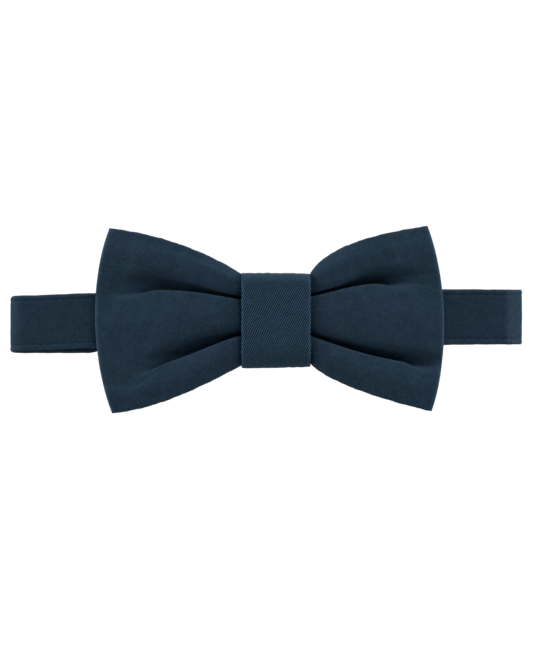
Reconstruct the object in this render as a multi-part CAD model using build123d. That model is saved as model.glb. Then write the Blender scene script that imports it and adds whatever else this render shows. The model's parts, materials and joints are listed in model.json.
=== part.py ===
from build123d import *
import os

# A ready-tied bow tie, standing as it is worn: +X to the right as a facing person sees it,
# +Y towards the wearer, +Z up. The origin is the knot's centre, on the side of the neck band
# that lies against the collar. Millimetres.

os.makedirs("parts", exist_ok=True)

# ---- cloth and its layers ----
band_cloth = 0.35          # cloth of the neck band
band_filler = 0.4          # interlining of the neck band
bow_cloth = 0.5            # cloth of the bow
bow_filler = 0.9           # interlining of the bow
knot_cloth = 0.6           # cloth of the knot, pressed double
knot_filler = 0.5          # interlining of the knot
layer_gap = 0.05           # air between two layers that are sewn together
thread = 0.4               # sewing thread

# ---- neck band ----
band_width = 19.0
fold_left = 91.4           # from the knot's centre to the outside of the left fold
fold_right = 84.9          # from the knot's centre to the outside of the right fold
gap_left = 4.8             # between the front run and the left tail
seam_in = 2.0              # from the band's edge to its row of topstitching
joint_gap = 0.1            # between two lengths of band that bend against each other

# ---- bow ----
knot_width = 24.1
knot_height = 32.8
knot_front = 9.7           # the knot's front, from the band's wearer side
knot_corner = 3.0          # rounding of the knot's front corners
knot_seam = 0.3            # slit where the knot's two ends meet at the back
wing_reach_left = 62.4     # furthest point of the left wing
wing_reach_right = 57.6    # furthest point of the right wing
corner_top_left = (57.4, 31.8)
corner_low_left = (56.5, -31.8)
corner_top_right = (51.9, 32.6)
corner_low_right = (53.5, -31.1)
bow_slack = 0.3            # air between the bow's back and the band
pleat_swell = 0.8          # room for the pleats to swell past their depth, front and back
waist_slack = 0.15         # air between the bound waist and the knot round it
wing_clear = 0.3           # from the knot's side to where the wing starts to widen
edge_margin = 0.8          # the pleated sheet is this much taller than the waist before it is cut

# ---- clasp and slider, nickelled steel ----
bar = 1.2                  # round bars that the band turns on
plate = 0.8                # thickness of the hook and the eye
rail = 1.5                 # width of their side rails
slot_slack = 0.7           # the metal's slots are longer than the band is wide by this, each end
hook_bar_x = -45.0         # where the left tail turns round the hook's bar
eye_loop_slack = 0.6       # slack of the loop on the eye's bar
slider_bar_x = 45.0        # the slider's middle bar
slider_half = 6.0          # from the slider's middle bar to each end bar
slider_bar = 1.0           # the slider's bars
running_gap = 0.2          # between the slider's end bars and the band that runs on them
pass_gap = 0.3             # between the left tail's loop and the slider, which passes behind it
clasp_gap = 2.0            # between the open hook's tip and the eye
tongue_width = 8.0         # of the hook's tongue
tongue_reach = 11.0        # from the hook's bar to the start of its curl
curl = 1.1                 # radius of the curl, at the middle of its plate
tip = 3.0                  # straight end of the curl
eye_window = 3.5           # of the window that takes the hook, along the band
eye_bridge = 1.5           # metal each side of that window
lap = 9.0                  # end of the band, sewn down beside a bar

# ---- worked out ----
band = 2 * band_cloth + band_filler + 2 * layer_gap
front_y = -band / 2                                  # middle of the front run
left_y = gap_left + band / 2                         # middle of the left tail
hook_turn = bar / 2 + layer_gap + band / 2           # turns round the bars
eye_turn = hook_turn + eye_loop_slack
slider_turn = slider_bar / 2 + layer_gap + band / 2
loop_back = left_y + 2 * hook_turn + band / 2        # outer side of the left tail's loop
right_y = loop_back + pass_gap + slider_bar + running_gap + band / 2
left_bend = (left_y - front_y) / 2                   # bends, at the middle of the band
right_bend = (right_y - front_y) / 2
left_x = -fold_left + left_bend + band / 2           # centres of the two folds
right_x = fold_right - right_bend - band / 2
hook_y = left_y + hook_turn
eye_y = right_y + eye_turn
return_y = right_y + 2 * eye_turn                    # the band on its way back to the slider
slider_y = return_y - slider_turn
hook_tip = hook_bar_x + tongue_reach + curl + plate / 2
eye_length = eye_turn + band / 2 + slot_slack + 2 * eye_bridge + eye_window
eye_bar_x = hook_tip + clasp_gap + eye_length        # where the right tail turns round the eye's bar
bow_layers = 2 * bow_cloth + bow_filler + 2 * layer_gap
knot_wall = knot_cloth + layer_gap + knot_filler
waist_height = knot_height - 2 * (knot_wall + waist_slack + thread)
waist_ridge = knot_front - knot_wall - waist_slack - thread / 2 - pleat_swell
valley_depth = band + bow_layers + pleat_swell       # of the pleats' valleys, all along the bow
slot = band_width + 2 * slot_slack                   # length of the metal's slots
frame_height = slot + 2 * rail


def save(shape, name):
    export_step(shape, f"parts/{name}.step")


def strap(path, thick, width):
    """A flat strap along a path in the XY plane, standing on edge about Z = 0."""
    start = Plane(origin=path @ 0, x_dir=(0, 0, 1), z_dir=path % 0)
    return sweep(start * Rectangle(width, thick), path=path)


def sleeve(path):
    """The band's cloth: a flattened tube, open at both ends."""
    inside = strap(path, band - 2 * band_cloth, band_width - 2 * band_cloth)
    return strap(path, band, band_width) - inside


def filler(path):
    """The band's interlining, loose inside its sleeve."""
    return strap(path, band_filler, band_width - 2 * band_cloth - 2 * layer_gap)


def straight(x_from, x_to, y):
    return Wire([Edge.make_line((x_from, y), (x_to, y))])


def bend(x, y, radius, side):
    """Half a turn from the front run to a tail, bulging towards side (-1 left, +1 right)."""
    below = (x, y - radius)
    above = (x, y + radius)
    return Wire([ThreePointArc(below, (x + side * radius, y), above).edge()])


def topstitch(x_from, x_to, y, side):
    """Two rows of thread, near the band's two edges, on the face that looks towards side."""
    rows = []
    for edge in (-1, 1):
        row = Box(abs(x_to - x_from), thread / 3, thread)
        middle_y = y + side * (band / 2 + thread / 6)
        place = ((x_from + x_to) / 2, middle_y, edge * (band_width / 2 - seam_in))
        rows.append(Pos(*place) * row)
    return Compound(children=rows)


def bartack(x, y, side):
    """A close row of short upright stitches that holds a turned end down."""
    stitches = []
    for step in range(-3, 4):
        stitch = Box(3 * thread, thread / 2, thread)
        across = step * band_width / 8
        stitches.append(Pos(x, y + side * thread / 4, across) * stitch)
    return Compound(children=stitches)


def turned_end(x, y_in, radius, away, way):
    """A band's end, turned round a bar at x and lapped back.

    The run arrives at height y_in, the turn bulges in direction away along X, and the lapped end
    comes down beside the run. way is +1 where the turn climbs in Y and -1 where it drops.
    """
    y_out = y_in + way * 2 * radius
    y_lap = y_in + way * (band + layer_gap)
    start = (x - away * (lap + 1), y_in)
    middle = (x - away * lap / 4, (y_out + y_lap) / 2)
    landed = (x - away * lap / 2, y_lap)
    run_in = Edge.make_line(start, (x, y_in))
    turn = ThreePointArc((x, y_in), (x + away * radius, y_in + way * radius), (x, y_out)).edge()
    dip = TangentArc((x, y_out), middle, tangent=(-away, 0)).edge()
    rise = TangentArc(middle, landed, tangent=dip % 1).edge()
    run_out = Edge.make_line(landed, (x - away * lap, y_lap))
    return Wire([run_in, turn, dip, rise, run_out])


# ---------------- neck band, front run and its two folds ----------------

front_run = straight(left_x + joint_gap, right_x - joint_gap, front_y)
save(sleeve(front_run), "band_front_sleeve")
save(filler(front_run), "band_front_interlining")
save(topstitch(left_x + joint_gap, right_x - joint_gap, front_y, -1), "band_front_topstitch")

left_fold = bend(left_x, (front_y + left_y) / 2, left_bend, -1)
save(sleeve(left_fold), "left_fold_sleeve")
save(filler(left_fold), "left_fold_interlining")

right_fold = bend(right_x, (front_y + right_y) / 2, right_bend, 1)
save(sleeve(right_fold), "right_fold_sleeve")
save(filler(right_fold), "right_fold_interlining")

# ---------------- left tail, with the hook ----------------

left_tail_end = hook_bar_x - lap - 1
left_tail = straight(left_x + joint_gap, left_tail_end, left_y)
save(sleeve(left_tail), "left_tail_sleeve")
save(filler(left_tail), "left_tail_interlining")
save(topstitch(left_x + joint_gap, left_tail_end, left_y, 1), "left_tail_topstitch")
save(strap(turned_end(hook_bar_x, left_y, hook_turn, 1, 1), band, band_width), "hook_loop")
lap_face = left_y + band + layer_gap + band / 2
save(bartack(hook_bar_x - 3 * lap / 4, lap_face, 1), "hook_bartack")


def rod(x, y, diameter, length):
    """A round bar standing along Z."""
    return Pos(x, y, 0) * Cylinder(diameter / 2, length)


def hook():
    """A wire frame round the left tail's end, with a flat tongue that curls towards the neck."""
    shoulder = hook_bar_x + hook_turn + band / 2 + slot_slack
    part = rod(hook_bar_x, hook_y, bar, frame_height)
    for end in (-1, 1):
        side = Box(shoulder + rail - hook_bar_x, plate, rail)
        middle = ((hook_bar_x + shoulder + rail) / 2, hook_y, end * (slot + rail) / 2)
        part += Pos(*middle) * side
    part += Pos(shoulder + rail / 2, hook_y, 0) * Box(rail, plate, frame_height)
    curl_x = hook_bar_x + tongue_reach
    under_y = hook_y - 2 * curl
    flat = Edge.make_line((shoulder + rail / 2, hook_y), (curl_x, hook_y))
    bent = ThreePointArc((curl_x, hook_y), (curl_x + curl, hook_y - curl), (curl_x, under_y)).edge()
    end = Edge.make_line((curl_x, under_y), (curl_x - tip, under_y))
    return part + strap(Wire([flat, bent, end]), plate, tongue_width)


save(hook(), "hook")

# ---------------- right tail, eye and slider ----------------

right_tail_end = eye_bar_x + layer_gap
right_tail = straight(right_x - joint_gap, right_tail_end, right_y)
save(sleeve(right_tail), "right_tail_sleeve")
save(filler(right_tail), "right_tail_interlining")
save(topstitch(right_x - joint_gap, right_tail_end, right_y, -1), "right_tail_topstitch")

save(strap(bend(eye_bar_x, eye_y, eye_turn, -1), band, band_width), "eye_loop")

wrap_start = slider_bar_x - lap - 1
return_run = straight(eye_bar_x + layer_gap, wrap_start - layer_gap, return_y)
save(sleeve(return_run), "return_run_sleeve")
save(filler(return_run), "return_run_interlining")
save(strap(turned_end(slider_bar_x, return_y, slider_turn, 1, -1), band, band_width), "slider_wrap")
save(bartack(slider_bar_x - 3 * lap / 4, return_y + band / 2, 1), "slider_bartack")


def eye():
    """A flat ladder: the bar that the band turns on, a bridge, and a window for the hook."""
    inner = eye_bar_x - eye_turn - band / 2 - slot_slack
    outer = inner - eye_bridge - eye_window - eye_bridge
    part = rod(eye_bar_x, eye_y, bar, frame_height)
    for end in (-1, 1):
        side = Box(eye_bar_x - outer, plate, rail)
        part += Pos((eye_bar_x + outer) / 2, eye_y, end * (slot + rail) / 2) * side
    for bridge_x in (inner - eye_bridge / 2, outer + eye_bridge / 2):
        part += Pos(bridge_x, eye_y, 0) * Box(eye_bridge, plate, frame_height)
    return part


def slider():
    """Two arched side rails. The end bars run under the band, and its end is sewn to the middle bar."""
    low_y = right_y - band / 2 - running_gap - slider_bar / 2
    part = rod(slider_bar_x, slider_y, slider_bar, frame_height)
    for side in (-1, 1):
        part += rod(slider_bar_x + side * slider_half, low_y, slider_bar, frame_height)
    before = (slider_bar_x - slider_half, low_y)
    after = (slider_bar_x + slider_half, low_y)
    arch = Wire([ThreePointArc(before, (slider_bar_x, slider_y), after).edge()])
    for end in (-1, 1):
        part += Pos(0, 0, end * (slot + rail) / 2) * strap(arch, slider_bar, rail)
    return part


save(eye(), "eye")
save(slider(), "slider")

# ---------------- bow ----------------

knot_edge = knot_width / 2 + wing_clear


def pleat_stations(reach, tall):
    """The pleats at five places along a wing, from the knot's centre out.

    Each is the distance out, the height of the sheet's edges before it is cut to shape, the heights
    of the upper and the lower valley, and the depths of the ridges and of the valleys.
    """
    half = waist_height / 2
    run = reach - knot_edge
    ridge = waist_ridge
    valley = valley_depth
    return [
        (0, half + edge_margin, 0.52 * half, -0.28 * half, ridge, valley),
        (knot_edge, half + edge_margin, 0.56 * half, -0.29 * half, ridge, valley),
        (knot_edge + 0.26 * run, 0.85 * tall, 0.34 * tall, -0.23 * tall, ridge + 0.9, valley),
        (knot_edge + 0.52 * run, 1.04 * tall, 0.41 * tall, -0.38 * tall, ridge - 0.5, valley + 0.4),
        (knot_edge + 1.08 * run, 1.22 * tall, 0.43 * tall, -0.47 * tall, ridge - 2.8, valley + 0.2),
    ]


def pleat_section(side, station, thick, behind):
    """A wavy strip across the wing, with three ridges and two valleys, thick deep in Y."""
    out, edge, upper, lower, ridge, valley = station
    end_depth = (ridge + valley) / 2
    wave = [
        (edge, end_depth),
        ((edge + upper) / 2, ridge),
        (upper, valley),
        ((upper + lower) / 2, ridge),
        (lower, valley),
        ((lower - edge) / 2, ridge),
        (-edge, end_depth),
    ]
    front = [(side * out, behind - depth, height) for height, depth in wave]
    back = [(x, y + thick, z) for x, y, z in front]
    edges = [
        Spline(*front).edge(),
        Edge.make_line(front[-1], back[-1]),
        Spline(*reversed(back)).edge(),
        Edge.make_line(back[0], front[0]),
    ]
    return Face(Wire(edges))


def wing_outline(side, reach, corner_top, corner_low):
    """The wing as seen from the front, from the knot's centre out, as a prism to cut with."""
    half = waist_height / 2
    top_x, top_z = corner_top
    low_x, low_z = corner_low
    run = top_x - knot_edge
    rise = top_z - half
    drop = low_z + half
    top = Bezier(
        (knot_edge, half),
        (knot_edge + 0.2 * run, half + 0.55 * rise),
        (knot_edge + 0.6 * run, half + 0.85 * rise),
        corner_top,
    )
    outer = ThreePointArc(corner_top, (reach, (top_z + low_z) / 2), corner_low)
    low = Bezier(
        corner_low,
        (knot_edge + 0.6 * (low_x - knot_edge), -half + 0.85 * drop),
        (knot_edge + 0.2 * (low_x - knot_edge), -half + 0.55 * drop),
        (knot_edge, -half),
    )
    waist = Polyline((knot_edge, -half), (0, -half), (0, half), (knot_edge, half))
    outline = make_face(top + outer + low + waist)
    if side < 0:
        outline = mirror(outline, about=Plane.YZ)
    depth = knot_front + bow_layers
    return extrude(Plane.XZ * outline, amount=depth)


def wing_layer(side, reach, corner_top, corner_low, thick, behind):
    """One layer of a wing. behind is how far the layer's front lies behind the bow's front."""
    tall = max(corner_top[1], -corner_low[1])
    stations = pleat_stations(reach, tall)
    sections = [pleat_section(side, station, thick, behind) for station in stations]
    return loft(sections, ruled=True) & wing_outline(side, reach, corner_top, corner_low)


wings = [
    (-1, wing_reach_left, corner_top_left, corner_low_left),
    (1, wing_reach_right, corner_top_right, corner_low_right),
]
filler_behind = bow_cloth + layer_gap
back_behind = filler_behind + bow_filler + layer_gap

front_cloth = [wing_layer(*wing, bow_cloth, 0) for wing in wings]
save(front_cloth[0] + front_cloth[1], "bow_front_cloth")
wing_filler = [wing_layer(*wing, bow_filler, filler_behind) for wing in wings]
save(wing_filler[0] + wing_filler[1], "bow_interlining")
save(wing_layer(*wings[0], bow_cloth, back_behind), "left_wing_back_cloth")
save(wing_layer(*wings[1], bow_cloth, back_behind), "right_wing_back_cloth")


def loop_band(front, back, height, corner, wall, length):
    """A closed band about the X axis, wall thick. front and back are its outer faces in Y."""
    def section(inset, rounding):
        size = Rectangle(back - front - 2 * inset, height - 2 * inset)
        face = Plane.YZ * (Pos((front + back) / 2, 0) * size)
        face = fillet(face.vertices().group_by(Axis.Y)[0], rounding)
        return fillet(face.vertices().group_by(Axis.Y)[-1], rounding / 3)
    ring = section(0, corner) - section(wall, corner - wall)
    return Pos(-length / 2, 0, 0) * extrude(ring, amount=length)


# ---------------- binding thread, and the knot round bow and band ----------------

tunnel_back = bow_slack                               # inner face of the knot behind the band
knot_back = tunnel_back + knot_filler + layer_gap + knot_cloth
lining_front = -knot_front + knot_cloth + layer_gap
lining_back = tunnel_back + knot_filler
lining_height = knot_height - 2 * (knot_cloth + layer_gap)
lining_corner = knot_corner - knot_cloth - layer_gap

binding_front = -(waist_ridge + pleat_swell + thread / 2)
binding_back = -(band + bow_slack)
binding_height = waist_height + thread + 2 * layer_gap
binding_corner = lining_corner - knot_filler - waist_slack
turns = [
    Pos(turn * 1.5 * thread, 0, 0)
    * loop_band(binding_front, binding_back, binding_height, binding_corner, thread / 2, thread)
    for turn in range(-2, 3)
]
save(Compound(children=turns), "waist_binding_thread")

lining = loop_band(lining_front, lining_back, lining_height, lining_corner, knot_filler, knot_width)
wrap = loop_band(-knot_front, knot_back, knot_height, knot_corner, knot_cloth, knot_width)
slit = Pos(0, knot_back, 0) * Box(knot_width, 2 * knot_cloth, knot_seam)
save(lining, "knot_interlining")
save(wrap - slit, "knot_wrap")

stitch = Box(thread, thread / 2, 3 * thread)
seam_stitches = [
    Pos(across * knot_width / 9, knot_back + thread / 4, 0) * stitch for across in range(-4, 5)
]
save(Compound(children=seam_stitches), "knot_hand_stitches")
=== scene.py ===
import json
import math

import bmesh
import bpy
import numpy as np
from bpy.props import FloatProperty, FloatVectorProperty, PointerProperty
from bpy.types import Operator, Panel, PropertyGroup
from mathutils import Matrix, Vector


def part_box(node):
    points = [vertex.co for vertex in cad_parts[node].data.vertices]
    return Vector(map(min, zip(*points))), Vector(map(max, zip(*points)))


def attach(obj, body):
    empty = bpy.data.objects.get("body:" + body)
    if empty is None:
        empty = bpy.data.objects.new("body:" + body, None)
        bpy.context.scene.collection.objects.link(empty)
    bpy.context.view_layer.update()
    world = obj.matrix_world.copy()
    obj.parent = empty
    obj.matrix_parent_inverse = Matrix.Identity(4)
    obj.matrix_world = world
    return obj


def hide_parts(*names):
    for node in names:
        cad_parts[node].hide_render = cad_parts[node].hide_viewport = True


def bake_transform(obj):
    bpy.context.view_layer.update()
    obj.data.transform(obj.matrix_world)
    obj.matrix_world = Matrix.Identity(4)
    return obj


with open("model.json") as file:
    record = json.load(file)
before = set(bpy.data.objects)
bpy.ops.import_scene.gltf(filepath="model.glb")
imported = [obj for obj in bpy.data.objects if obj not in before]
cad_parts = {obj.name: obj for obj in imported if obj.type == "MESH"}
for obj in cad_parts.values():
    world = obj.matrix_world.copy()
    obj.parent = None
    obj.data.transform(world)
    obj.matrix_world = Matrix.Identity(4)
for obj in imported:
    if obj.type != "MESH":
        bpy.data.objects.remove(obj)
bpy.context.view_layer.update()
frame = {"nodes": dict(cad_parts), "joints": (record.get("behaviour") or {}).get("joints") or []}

bl_info = {
    "name": "Ready-tied bow tie",
    "version": (1, 0, 0),
    "blender": (4, 5, 0),
    "location": "View3D > Sidebar > Bow tie",
    "description": "Makes a pleated twill bow tie on an adjustable neck band",
    "category": "Add Mesh",
}

MM = 0.001


# ---------------------------------------------------------------- places taken from the frame

def low_high(node):
    """The lowest and highest corner of a CAD node, as arrays."""
    low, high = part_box(node)
    return np.array(low), np.array(high)


def pivot(joint):
    """Where a hinge's axis stands."""
    return np.array(next(j["pos_m"] for j in frame["joints"] if j["name"] == joint))


RUN_LOW, RUN_HIGH = low_high("band_front_sleeve")
BAND_THICK = float(RUN_HIGH[1] - RUN_LOW[1])
BAND_WIDE = float(RUN_HIGH[2] - RUN_LOW[2])
KNOT_LOW, KNOT_HIGH = low_high("knot_wrap")
WRAP_LOW, WRAP_HIGH = low_high("slider_wrap")
LEFT_FOLD, LEFT_TAIL = pivot("left_fold_hinge"), pivot("left_tail_hinge")
RIGHT_FOLD, RIGHT_TAIL = pivot("right_fold_hinge"), pivot("right_tail_hinge")
HOOK_BAR, EYE_BAR = pivot("hook_tilt"), pivot("eye_tilt")


# ---------------------------------------------------------------- settings

class BandSettings(PropertyGroup):
    seam_inset: FloatProperty(
        name="Seam inset", description="From the band's edge to its topstitching",
        default=1.9 * MM, unit="LENGTH")
    seam_groove: FloatProperty(
        name="Seam groove", description="How deep the topstitching draws the cloth in",
        default=0.26 * MM, unit="LENGTH")
    rise: FloatProperty(
        name="Rise", description="Slope of the front run, upwards to the right",
        default=math.radians(0.6), subtype="ANGLE")
    lift: FloatProperty(
        name="Lift", description="Height of the front run behind the knot",
        default=0.69 * MM, unit="LENGTH")
    droop_left: FloatProperty(
        name="Left droop", description="How far the front run sinks towards its left fold",
        default=0.6 * MM, unit="LENGTH")
    droop_right: FloatProperty(
        name="Right droop", description="How far the front run sinks towards its right fold",
        default=0.3 * MM, unit="LENGTH")
    fold_puff: FloatProperty(
        name="Fold puff", description="How far the folds stand out beyond an even turn",
        default=0.6 * MM, unit="LENGTH")
    sag_left: FloatProperty(
        name="Left sag", description="How far the left tail hangs below the front run at the fold",
        default=1.0 * MM, unit="LENGTH")
    ripple: FloatProperty(
        name="Ripple", description="Unevenness of the pressed band",
        default=0.1 * MM, unit="LENGTH")


class BowSettings(PropertyGroup):
    thickness: FloatProperty(
        name="Thickness", description="Of a wing's edge, cloth and interlining together",
        default=2.0 * MM, unit="LENGTH")
    ridge: FloatProperty(
        name="Ridge", description="How far the pleats stand in front of the band's back",
        default=8.2 * MM, unit="LENGTH")
    pleat_depth: FloatProperty(
        name="Pleat depth", description="Depth of the two valleys beside the knot",
        default=4.6 * MM, unit="LENGTH")
    tuck: FloatProperty(
        name="Tuck", description="How far a valley runs in under the fold below it",
        default=1.1 * MM, unit="LENGTH")


class KnotSettings(PropertyGroup):
    narrower: FloatProperty(
        name="Drawn in", description="How much tension narrows the strip below its folded width",
        default=0.35 * MM, unit="LENGTH")
    front_round: FloatProperty(
        name="Front rounding", description="Radius of the knot's front corners",
        default=3.6 * MM, unit="LENGTH")
    squint: FloatProperty(
        name="Squint", description="How much shorter the knot is on its right",
        default=0.16 * MM, unit="LENGTH")
    wall: FloatProperty(
        name="Wall", description="Thickness of the folded wrap",
        default=1.1 * MM, unit="LENGTH")


class ClothSettings(PropertyGroup):
    colour: FloatVectorProperty(
        name="Navy", description="Colour of the twill", subtype="COLOR",
        default=(0.0098, 0.0264, 0.0466), min=0, max=1)
    rib_pitch: FloatProperty(
        name="Rib pitch", description="Between two diagonal ribs of the twill",
        default=0.7 * MM, unit="LENGTH")
    rib_height: FloatProperty(
        name="Rib height", description="Of the twill's ribs",
        default=0.07 * MM, unit="LENGTH")
    knot_turn: FloatProperty(
        name="Knot rib angle", description="Direction of the ribs on the knot",
        default=math.radians(-62), subtype="ANGLE")
    bow_turn: FloatProperty(
        name="Bow rib angle", description="Direction of the ribs on the wings",
        default=math.radians(-43), subtype="ANGLE")
    band_turn: FloatProperty(
        name="Band rib angle", description="Direction of the ribs on the band",
        default=math.radians(36), subtype="ANGLE")


class StitchSettings(PropertyGroup):
    length: FloatProperty(
        name="Stitch length", description="Of one topstitch",
        default=1.6 * MM, unit="LENGTH")
    spacing: FloatProperty(
        name="Stitch spacing", description="From one topstitch to the next",
        default=2.7 * MM, unit="LENGTH")
    thread: FloatProperty(
        name="Thread", description="Thickness of the sewing thread",
        default=0.38 * MM, unit="LENGTH")


class MetalSettings(PropertyGroup):
    colour: FloatVectorProperty(
        name="Nickel", description="Colour of the plated steel", subtype="COLOR",
        default=(0.60, 0.585, 0.55), min=0, max=1)
    edge_round: FloatProperty(
        name="Edge rounding", description="Of the stamped metal's edges",
        default=0.14 * MM, unit="LENGTH")


class StageSettings(PropertyGroup):
    floor_drop: FloatProperty(
        name="Floor", description="How far the floor lies below the bow",
        default=0.2, unit="LENGTH")
    camera_away: FloatProperty(
        name="Camera distance", description="From the camera to the bow",
        default=1.6, unit="LENGTH")
    view_height: FloatProperty(
        name="View height", description="Height of the view at the bow",
        default=0.2249, unit="LENGTH")
    view_left: FloatProperty(
        name="View offset across", description="From the knot's centre to the view's",
        default=-3.28 * MM, unit="LENGTH")
    view_down: FloatProperty(
        name="View offset up", description="From the knot's centre to the view's",
        default=-1.9 * MM, unit="LENGTH")


SETTINGS = {
    "tie_band": BandSettings,
    "tie_bow": BowSettings,
    "tie_knot": KnotSettings,
    "tie_cloth": ClothSettings,
    "tie_stitch": StitchSettings,
    "tie_metal": MetalSettings,
    "tie_stage": StageSettings,
}

# sizes that the settings leave alone
RIGHT_SAG = 0.1 * MM        # how far the right tail hangs below the front run at the fold
LAP = 9 * MM                # length of a turned end beyond its bar
KNOT_SIDE = 12.0            # about where the wings come out of the knot, in millimetres


# ---------------------------------------------------------------- shader nodes

class Value:
    """A shader socket whose arithmetic adds Math nodes."""

    def __init__(self, tree, socket):
        self.tree = tree
        self.socket = socket

    def maths(self, operation, *terms):
        node = self.tree.nodes.new("ShaderNodeMath")
        node.operation = operation
        for place, term in zip(node.inputs, terms):
            if isinstance(term, Value):
                self.tree.links.new(term.socket, place)
            else:
                place.default_value = term
        return Value(self.tree, node.outputs[0])

    def __add__(self, other):
        return self.maths("ADD", self, other)

    def __radd__(self, other):
        return self.maths("ADD", other, self)

    def __sub__(self, other):
        return self.maths("SUBTRACT", self, other)

    def __rsub__(self, other):
        return self.maths("SUBTRACT", other, self)

    def __mul__(self, other):
        return self.maths("MULTIPLY", self, other)

    def __rmul__(self, other):
        return self.maths("MULTIPLY", other, self)

    def __truediv__(self, other):
        return self.maths("DIVIDE", self, other)

    def __rtruediv__(self, other):
        return self.maths("DIVIDE", other, self)

    def wave(self):
        """A smooth wave from 0 to 1, one for each whole number."""
        return self.maths("SINE", self * (2 * math.pi)) * 0.5 + 0.5

    def clamp(self):
        return self.maths("MINIMUM", self.maths("MAXIMUM", self, 0.0), 1.0)


class Finish:
    """A material built from nodes."""

    def __init__(self, name):
        self.material = bpy.data.materials.new(name)
        self.material.use_nodes = True
        self.tree = self.material.node_tree
        self.tree.nodes.clear()

    def add(self, kind, settings=None, inputs=None, out=0):
        """Adds a node: its settings first, then its sockets' values or links."""
        node = self.tree.nodes.new(kind)
        for key, value in (settings or {}).items():
            setattr(node, key, value)
        for key, value in (inputs or {}).items():
            if isinstance(value, Value):
                self.tree.links.new(value.socket, node.inputs[key])
            else:
                node.inputs[key].default_value = value
        return Value(self.tree, node.outputs[out]) if len(node.outputs) else None

    def noise(self, scale, detail=2.0, vector=None, roughness=0.5):
        """Smooth noise from 0 to 1; scale is in features per metre."""
        place = vector or self.add("ShaderNodeTexCoord", out="Object")
        return self.add("ShaderNodeTexNoise", inputs={
            "Vector": place, "Scale": scale, "Detail": detail, "Roughness": roughness})

    def mix(self, share, first, second, blend="MIX"):
        """Two colours mixed."""
        return self.add("ShaderNodeMix", {"data_type": "RGBA", "blend_type": blend},
                        {0: share, 6: first, 7: second}, out=2)

    def shade(self, colour, tone):
        """A colour made darker or lighter by a tone near 1."""
        grey = self.add("ShaderNodeCombineColor", inputs={0: tone, 1: tone, 2: tone})
        return self.mix(1.0, colour, grey, "MULTIPLY")

    def surface(self, inputs):
        """The principled surface and the material's output."""
        shader = self.add("ShaderNodeBsdfPrincipled", inputs=inputs)
        self.add("ShaderNodeOutputMaterial", inputs={"Surface": shader})
        return self.material


def twill_finish(name, colour, pitch, height, contrast, clumps, sheen):
    """Piece-dyed twill: diagonal ribs of short floats, heather flecks and a soft bloom.

    The map named twill holds metres: across the ribs, and along them. Clumps is the share of the
    ribs that the nap hides here and there. The cloth is painted paler along its rims, a painted
    highlight, and its ribs show more there and less where it is napped.
    """
    cloth = Finish(name)
    place = cloth.add("ShaderNodeUVMap", {"uv_map": "twill"})
    across = cloth.add("ShaderNodeSeparateXYZ", inputs={0: place}, out=0)
    along = cloth.add("ShaderNodeSeparateXYZ", inputs={0: place}, out=1)
    drift = cloth.noise(260.0) - 0.5
    rib = (across / pitch + drift * 0.35).wave()
    float_length = pitch * 1.25
    yarn = (along / float_length + across / pitch * 0.5 + drift * 0.6).wave()
    weave = rib * (yarn * 0.35 + 0.65)
    mean_weave = 0.41
    fleck = cloth.noise(2600.0, 3.0, roughness=0.7) - 0.5
    heather = cloth.noise(1100.0, 4.0, roughness=0.75) - 0.5
    cloud = cloth.noise(75.0, 3.0) - 0.5
    patch = cloth.noise(420.0, 4.0, roughness=0.65) - 0.5
    # each point's share of a painted highlight along the cloth's rims
    rubbed = cloth.add("ShaderNodeAttribute", {"attribute_name": "rubbed"}, out="Fac")
    napped = cloth.add("ShaderNodeAttribute", {"attribute_name": "napped"}, out="Fac")
    nap = (((patch * 3.0 + cloud * 2.0 + rubbed + 0.5).clamp() - 1.0) * clumps + 1.0) \
        * (1.0 - napped)
    # the rims' share makes the tone paler: a painted highlight
    tone = ((weave - mean_weave) * contrast * nap + fleck * 1.0 + heather * 1.5 + cloud * 0.28
            + patch * 0.4 + rubbed * 0.42)
    tint = cloth.mix((cloud * 1.6 + heather * 1.4 + 0.5).clamp(),
                     (colour[0] * 0.86, colour[1] * 1.06, colour[2] * 0.9, 1),
                     (colour[0] * 1.16, colour[1] * 0.93, colour[2] * 1.1, 1))
    base = cloth.shade(tint, tone + 1.0)
    rough = 0.86 - rib * 0.1 + fleck * 0.12
    relief = weave * nap + fleck * 0.35
    normal = cloth.add("ShaderNodeBump", inputs={
        "Strength": 1.0, "Distance": height, "Height": relief})
    return cloth.surface({
        "Base Color": base, "Roughness": rough, "Normal": normal,
        "Specular IOR Level": 0.14, "Sheen Weight": sheen, "Sheen Roughness": 0.45,
        "Sheen Tint": (0.62, 0.74, 0.86, 1)})


def thread_finish(colour):
    """Spun polyester thread, a little glossier than the cloth."""
    thread = Finish("thread_finish")
    ply = thread.noise(5200.0, 1.0)
    tone = ply * 0.5 + 0.7
    # the colour given is the cloth's, darkened: a painted shade of the grooves the stitches lie in
    base = thread.shade((*colour, 1), tone)
    normal = thread.add("ShaderNodeBump", inputs={
        "Strength": 0.7, "Distance": 0.05 * MM, "Height": ply})
    return thread.surface({
        "Base Color": base, "Roughness": 0.62 - ply * 0.2, "Normal": normal,
        "Specular IOR Level": 0.12, "Sheen Weight": 0.02, "Sheen Roughness": 0.4})


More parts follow.
